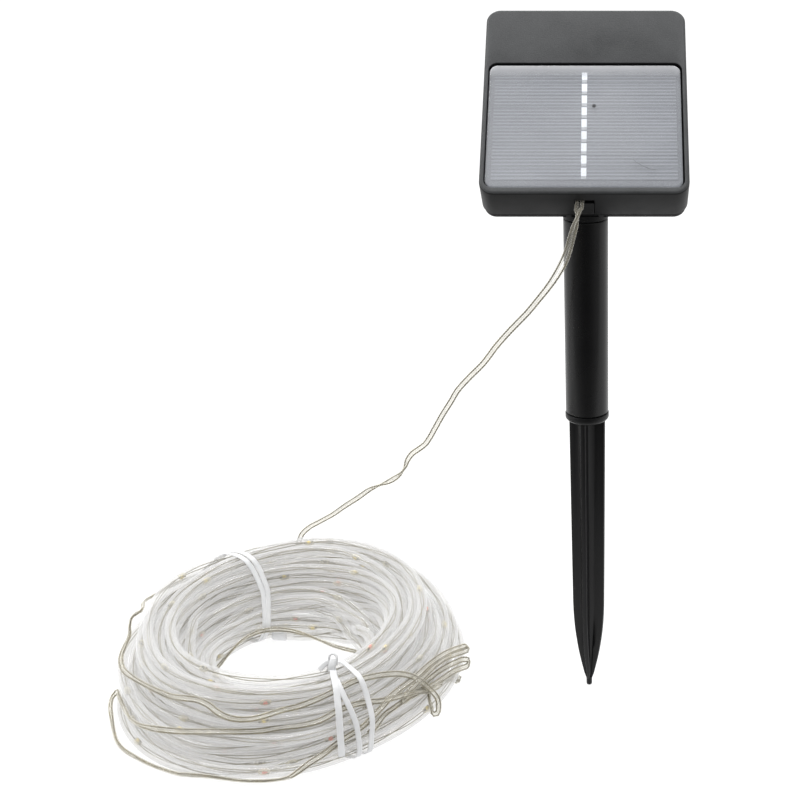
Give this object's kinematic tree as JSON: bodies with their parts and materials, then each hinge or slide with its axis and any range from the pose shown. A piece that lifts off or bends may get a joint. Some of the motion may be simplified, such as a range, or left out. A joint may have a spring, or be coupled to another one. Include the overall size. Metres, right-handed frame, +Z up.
{
  "type": "solar rope light",
  "caption": "Solar rope light: tilted solar housing on a plastic ground stake, twin lead, and a tied coil of clear LED rope.",
  "frame": {"origin": "flat end of the ground spike, at floor level", "axes": "+Z up along the stake; the solar panel faces -Y, tilted up 45 degrees; the coil lies towards -X"},
  "size_m": [0.3392, 0.2117, 0.3884],
  "materials": {
    "housing_plastic": "fine-grained black plastic",
    "stake_plastic": "smooth black plastic with a soft shine",
    "solar_cell": "grey solar cell under resin with a dashed bright ribbon",
    "clear_resin": "clear cast resin, semi-gloss",
    "black_rubber": "black rubber",
    "screw_steel": "plated steel",
    "contact_metal": "nickel-plated spring steel",
    "battery_wrap": "shrink sleeve",
    "circuit_board": "green solder mask",
    "switch_plastic": "moulded switch body",
    "red_wire": "wire insulation",
    "clear_pvc": "clear soft PVC, glossy",
    "led_wire": "tinned copper strands with resin lamp droplets",
    "tie_plastic": "white twist tie plastic, faintly translucent"
  },
  "bodies": {
    "stake_and_coil": {"stake_tube": "stake_plastic", "rope_tube": "clear_pvc", "led_string": "led_wire", "rope_end_cap": "clear_pvc", "splice_sleeve": "clear_pvc", "lead_core_a": "clear_pvc", "lead_core_b": "clear_pvc", "tie_back": "tie_plastic", "tie_front": "tie_plastic"},
    "solar_housing": {"top_cover": "housing_plastic", "solar_cell_board": "solar_cell", "panel_resin": "clear_resin", "case_gasket": "black_rubber", "base_cover": "housing_plastic", "case_screw_1": "screw_steel", "case_screw_2": "screw_steel", "case_screw_3": "screw_steel", "case_screw_4": "screw_steel", "battery_cell": "battery_wrap", "battery_contact_plate": "contact_metal", "battery_contact_spring": "contact_metal", "circuit_board": "circuit_board", "power_switch": "switch_plastic", "mode_switch": "switch_plastic", "panel_wire": "red_wire", "battery_wire_red": "red_wire", "battery_wire_black": "black_rubber", "outlet_grommet": "black_rubber"},
    "spike": {"ground_spike": "stake_plastic"},
    "door": {"battery_door": "housing_plastic", "battery_door_screw": "screw_steel"},
    "power_press": {"power_button": "black_rubber"},
    "mode_press": {"mode_button": "black_rubber"}
  },
  "joints": [
    {"name": "housing_swivel", "type": "hinge", "parent": "stake_and_coil", "child": "solar_housing", "pos_m": [0, 0, 0.286], "axis": [0, 0, 1], "range_deg": [-90, 90], "deforming": ["lead_core_a", "lead_core_b"]},
    {"name": "spike_pull", "type": "slide", "parent": "stake_and_coil", "child": "spike", "axis": [0, 0, -1], "range_m": [0, 0.022], "stiffness_N_per_m": 400},
    {"name": "battery_door_lift", "type": "slide", "parent": "solar_housing", "child": "door", "axis": [0, 0.7071, -0.7071], "range_m": [0, 0.02], "stiffness_N_per_m": 200},
    {"name": "power_button_press", "type": "slide", "parent": "solar_housing", "child": "power_press", "axis": [0, -0.7071, 0.7071], "range_m": [0, 0.0008], "stiffness_N_per_m": 800},
    {"name": "mode_button_press", "type": "slide", "parent": "solar_housing", "child": "mode_press", "axis": [0, -0.7071, 0.7071], "range_m": [0, 0.0008], "stiffness_N_per_m": 800}
  ]
}
